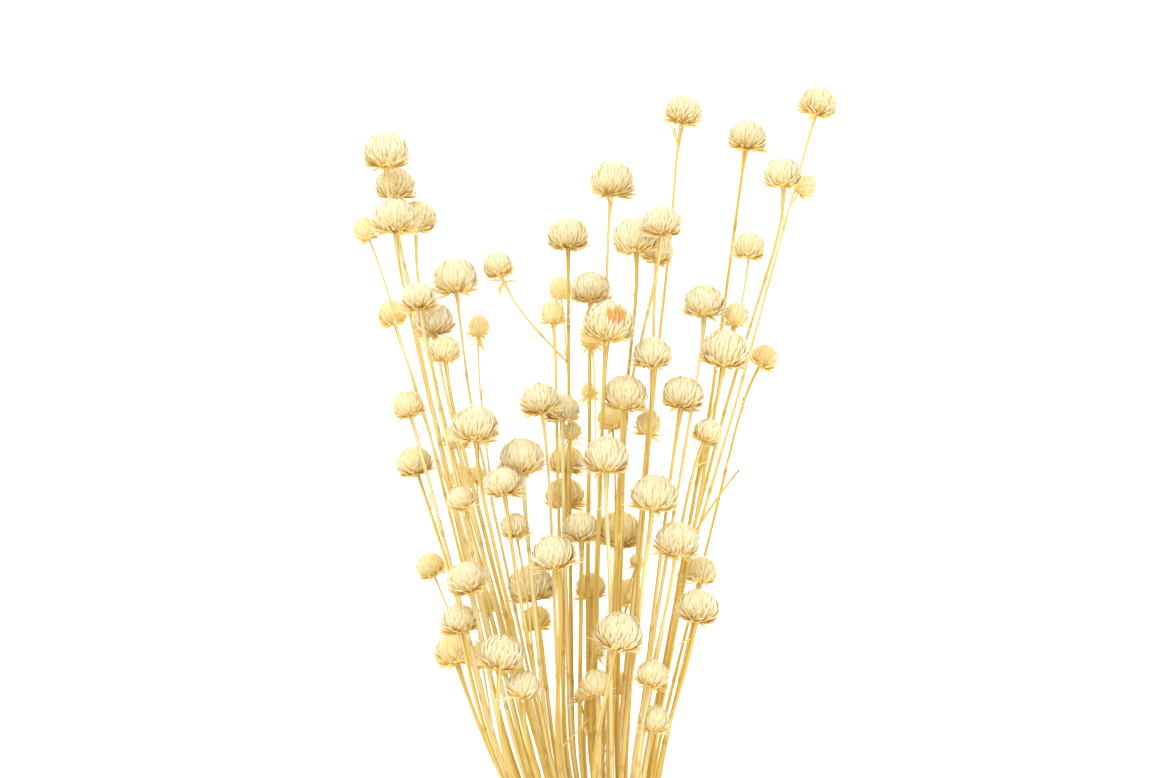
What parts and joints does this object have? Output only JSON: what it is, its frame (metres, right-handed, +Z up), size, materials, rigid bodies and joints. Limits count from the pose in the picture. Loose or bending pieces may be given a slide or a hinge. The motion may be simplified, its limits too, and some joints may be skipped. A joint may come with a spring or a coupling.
{
  "type": "dried globe amaranth bunch",
  "caption": "Tied bunch of dried, bleached globe flowers on thin straw-coloured stems, lying on its side, fanning out from a twine tie near the cut ends.",
  "frame": {"origin": "on the surface the bunch lies on, under the middle of its bounding box", "axes": "+Y along the bunch from the cut ends to the blooms, +Z up from the surface, +X across the fan"},
  "size_m": [0.2542, 0.5684, 0.106],
  "materials": {
    "dried_flower": "matte",
    "twine": "matte"
  },
  "bodies": {
    "root": {"flower_stem_01": "dried_flower", "flower_stem_02": "dried_flower", "flower_stem_03": "dried_flower", "flower_stem_04": "dried_flower", "flower_stem_05": "dried_flower", "flower_stem_06": "dried_flower", "flower_stem_07": "dried_flower", "flower_stem_08": "dried_flower", "flower_stem_09": "dried_flower", "flower_stem_10": "dried_flower", "flower_stem_11": "dried_flower", "flower_stem_12": "dried_flower", "flower_stem_13": "dried_flower", "flower_stem_14": "dried_flower", "flower_stem_15": "dried_flower", "flower_stem_16": "dried_flower", "flower_stem_17": "dried_flower", "flower_stem_18": "dried_flower", "flower_stem_19": "dried_flower", "flower_stem_20": "dried_flower", "flower_stem_21": "dried_flower", "flower_stem_22": "dried_flower", "flower_stem_23": "dried_flower", "flower_stem_24": "dried_flower", "flower_stem_25": "dried_flower", "flower_stem_26": "dried_flower", "flower_stem_27": "dried_flower", "flower_stem_28": "dried_flower", "flower_stem_29": "dried_flower", "flower_stem_30": "dried_flower", "flower_stem_31": "dried_flower", "flower_stem_32": "dried_flower", "flower_stem_33": "dried_flower", "flower_stem_34": "dried_flower", "flower_stem_35": "dried_flower", "flower_stem_36": "dried_flower", "flower_stem_37": "dried_flower", "flower_stem_38": "dried_flower", "flower_stem_39": "dried_flower", "flower_stem_40": "dried_flower", "flower_stem_41": "dried_flower", "flower_stem_42": "dried_flower", "flower_stem_43": "dried_flower", "flower_stem_44": "dried_flower", "flower_stem_45": "dried_flower", "flower_stem_46": "dried_flower", "flower_stem_47": "dried_flower", "flower_stem_48": "dried_flower", "flower_stem_49": "dried_flower", "flower_stem_50": "dried_flower", "flower_stem_51": "dried_flower", "flower_stem_52": "dried_flower", "flower_stem_53": "dried_flower", "flower_stem_54": "dried_flower", "flower_stem_55": "dried_flower", "flower_stem_56": "dried_flower", "flower_stem_57": "dried_flower", "flower_stem_58": "dried_flower", "twine_tie": "twine"}
  },
  "joints": []
}
